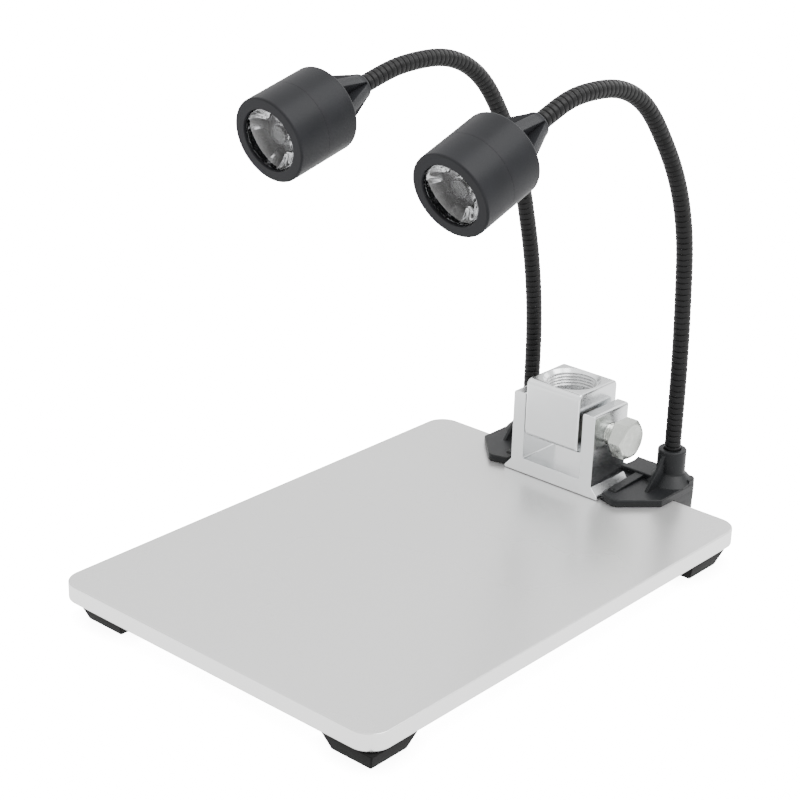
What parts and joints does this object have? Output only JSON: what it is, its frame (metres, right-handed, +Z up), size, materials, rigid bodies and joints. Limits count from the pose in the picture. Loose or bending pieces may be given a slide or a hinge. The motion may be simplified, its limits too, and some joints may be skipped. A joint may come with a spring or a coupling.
{
  "type": "inspection stand base",
  "caption": "Flat bench stand with a tilting threaded column socket at the rear and adjustable gooseneck spot lamps over the plate.",
  "frame": {"origin": "on the floor, under the middle of the whole stand", "axes": "+Z up, -Y towards the user at the plate's free end, +X to the user's right"},
  "size_m": [0.18, 0.27, 0.2281],
  "materials": {
    "blasted_aluminium": "blasted and clear anodised",
    "satin_aluminium": "satin, milled faces",
    "zinc_steel": "zinc plated",
    "black_rubber": "matte",
    "black_moulding": "satin moulded",
    "black_hose": "black plastic coat over steel coil",
    "clear_lens": "clear",
    "gloss_black": "gloss",
    "led_phosphor": "phosphor under a clear dome",
    "white_board": "white solder mask on an aluminium core",
    "green_board": "green solder mask",
    "bare_aluminium": "turned",
    "washer_fibre": "pressed fibre"
  },
  "bodies": {
    "base": {"base_plate": "blasted_aluminium", "column_bracket": "satin_aluminium", "lamp_mount": "black_moulding", "mount_cover": "black_moulding", "junction_board": "green_board", "lead_grommet": "black_rubber", "foot_front_right": "black_rubber", "foot_screw_front_right": "zinc_steel", "foot_front_left": "black_rubber", "foot_screw_front_left": "zinc_steel", "foot_rear_right": "black_rubber", "foot_screw_rear_right": "zinc_steel", "foot_rear_left": "black_rubber", "foot_screw_rear_left": "zinc_steel", "bracket_screw_right": "zinc_steel", "mount_screw_right": "zinc_steel", "cover_screw_right": "zinc_steel", "hinge_washer_right": "washer_fibre", "bracket_screw_left": "zinc_steel", "mount_screw_left": "zinc_steel", "cover_screw_left": "zinc_steel", "hinge_washer_left": "washer_fibre", "right_hose_stub": "black_hose", "left_hose_stub": "black_hose"},
    "socket": {"socket_block": "satin_aluminium"},
    "bolt": {"hinge_bolt": "zinc_steel"},
    "right_riser": {"right_hose_riser": "black_hose"},
    "right_shoulder": {"right_hose_shoulder": "black_hose"},
    "right_crook": {"right_hose_crook": "black_hose"},
    "right_wrist": {"right_hose_wrist": "black_hose"},
    "right_lamp": {"right_hose_tip": "black_hose", "right_lamp_neck": "black_moulding", "right_rear_shell": "black_moulding", "right_front_shell": "black_moulding", "right_lens": "clear_lens", "right_lens_holder": "gloss_black", "right_led": "led_phosphor", "right_led_board": "white_board", "right_heat_sink": "bare_aluminium"},
    "left_riser": {"left_hose_riser": "black_hose"},
    "left_shoulder": {"left_hose_shoulder": "black_hose"},
    "left_crook": {"left_hose_crook": "black_hose"},
    "left_wrist": {"left_hose_wrist": "black_hose"},
    "left_lamp": {"left_hose_tip": "black_hose", "left_lamp_neck": "black_moulding", "left_rear_shell": "black_moulding", "left_front_shell": "black_moulding", "left_lens": "clear_lens", "left_lens_holder": "gloss_black", "left_led": "led_phosphor", "left_led_board": "white_board", "left_heat_sink": "bare_aluminium"}
  },
  "joints": [
    {"name": "column_tilt", "type": "hinge", "parent": "base", "child": "socket", "pos_m": [0, 0.1018, 0.0458], "axis": [1, 0, 0], "range_deg": [-90, 90]},
    {"name": "hinge_bolt_turn", "type": "hinge", "parent": "base", "child": "bolt", "pos_m": [0, 0.1018, 0.0458], "axis": [1, 0, 0], "range_deg": [-180, 180]},
    {"name": "right_sway", "type": "hinge", "parent": "base", "child": "right_riser", "pos_m": [0.0425, 0.1266, 0.0503], "axis": [0, 1, 0], "range_deg": [-2, 25]},
    {"name": "right_riser_bend", "type": "hinge", "parent": "right_riser", "child": "right_shoulder", "pos_m": [0.0425, 0.12378, 0.12042], "axis": [1, 0, 0], "range_deg": [-25, 25]},
    {"name": "right_shoulder_bend", "type": "hinge", "parent": "right_shoulder", "child": "right_crook", "pos_m": [0.0425, 0.09634, 0.19305], "axis": [1, 0, 0], "range_deg": [-35, 30]},
    {"name": "right_lamp_turn", "type": "hinge", "parent": "right_crook", "child": "right_wrist", "pos_m": [0.0425, 0.04133, 0.2212], "axis": [0, 0, 1], "range_deg": [-8, 30]},
    {"name": "right_lamp_tilt", "type": "hinge", "parent": "right_wrist", "child": "right_lamp", "pos_m": [0.0425, 0.01795, 0.21737], "axis": [1, 0, 0], "range_deg": [-35, 35]},
    {"name": "left_sway", "type": "hinge", "parent": "base", "child": "left_riser", "pos_m": [-0.0425, 0.1266, 0.0503], "axis": [0, -1, 0], "range_deg": [-2, 25]},
    {"name": "left_riser_bend", "type": "hinge", "parent": "left_riser", "child": "left_shoulder", "pos_m": [-0.0425, 0.11528, 0.13459], "axis": [1, 0, 0], "range_deg": [-25, 25]},
    {"name": "left_shoulder_bend", "type": "hinge", "parent": "left_shoulder", "child": "left_crook", "pos_m": [-0.0425, 0.09053, 0.18916], "axis": [1, 0, 0], "range_deg": [-35, 30]},
    {"name": "left_lamp_turn", "type": "hinge", "parent": "left_crook", "child": "left_wrist", "pos_m": [-0.0425, 0.03106, 0.22097], "axis": [0, 0, -1], "range_deg": [-8, 30]},
    {"name": "left_lamp_tilt", "type": "hinge", "parent": "left_wrist", "child": "left_lamp", "pos_m": [-0.0425, 0.00737, 0.21806], "axis": [1, 0, 0], "range_deg": [-35, 35]}
  ]
}
